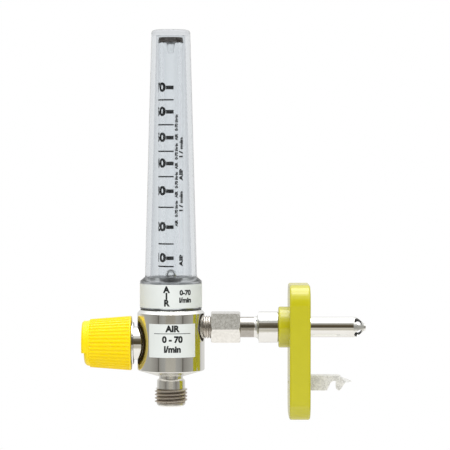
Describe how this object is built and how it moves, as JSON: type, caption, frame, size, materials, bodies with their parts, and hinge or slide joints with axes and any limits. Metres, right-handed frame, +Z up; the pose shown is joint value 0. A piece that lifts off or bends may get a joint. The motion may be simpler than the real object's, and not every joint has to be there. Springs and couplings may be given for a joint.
{
  "type": "medical air flowmeter",
  "caption": "Wall flowmeter for medical air: clear tapered tube with a ball float, ribbed needle valve knob, threaded outlet and a quick-connect probe with latch hook.",
  "frame": {"origin": "on the probe's axis, in the plane of the adapter plate's wall face", "axes": "+X along the probe into the wall outlet, +Z up along the flow tube, -Y is the side the scale faces"},
  "size_m": [0.123, 0.032, 0.1682],
  "materials": {
    "body_chrome": "polished",
    "fitting_chrome": "polished",
    "hook_steel": "satin",
    "ball_steel": "polished",
    "brass": "machined",
    "bronze_filter": "sintered, rough",
    "knob_yellow": "moulded, semi-gloss",
    "plate_olive": "moulded, semi-gloss",
    "outer_clear": "clear, polished",
    "inner_clear": "clear, polished",
    "label_white": "printed film, satin",
    "black_rubber": "moulded, matt",
    "seal_fibre": "matt"
  },
  "bodies": {
    "meter": {"valve_body": "body_chrome", "body_label": "label_white", "valve_seat": "brass", "bonnet_seal": "seal_fibre", "bonnet": "body_chrome", "outer_tube": "outer_clear", "collar_gasket": "black_rubber", "collar_label": "label_white", "flow_tube": "inner_clear", "flow_tube_o_ring": "black_rubber", "ball_seat": "brass", "float_stop": "inner_clear", "top_ring": "black_rubber", "outlet_connector": "body_chrome", "outlet_seal": "seal_fibre", "inlet_nipple": "fitting_chrome", "inlet_filter": "bronze_filter", "hex_coupling": "fitting_chrome", "adapter_body": "fitting_chrome", "adapter_plate": "plate_olive", "probe": "fitting_chrome", "probe_o_ring": "black_rubber", "latch_hook": "hook_steel", "hook_screw": "hook_steel"},
    "stem_seal": {"stem_o_ring": "black_rubber"},
    "control": {"valve_stem": "brass", "knob": "knob_yellow", "knob_screw": "hook_steel", "knob_cap": "knob_yellow"},
    "float": {"float_ball": "ball_steel"}
  },
  "joints": [
    {"name": "stem_travel", "type": "slide", "parent": "meter", "child": "stem_seal", "axis": [-1, 0, 0], "range_m": [0, 0.00121]},
    {"name": "knob_turn", "type": "hinge", "parent": "stem_seal", "child": "control", "pos_m": [-0.06013, 0, -0.007], "axis": [-1, 0, 0], "range_deg": [0, 540]},
    {"name": "float_rise", "type": "slide", "parent": "meter", "child": "float", "axis": [0, 0, 1], "range_m": [0, 0.0933]}
  ],
  "couplings": [
    {"joint": "stem_travel", "follows": "knob_turn", "m_per_rad": 0.00012732}
  ]
}
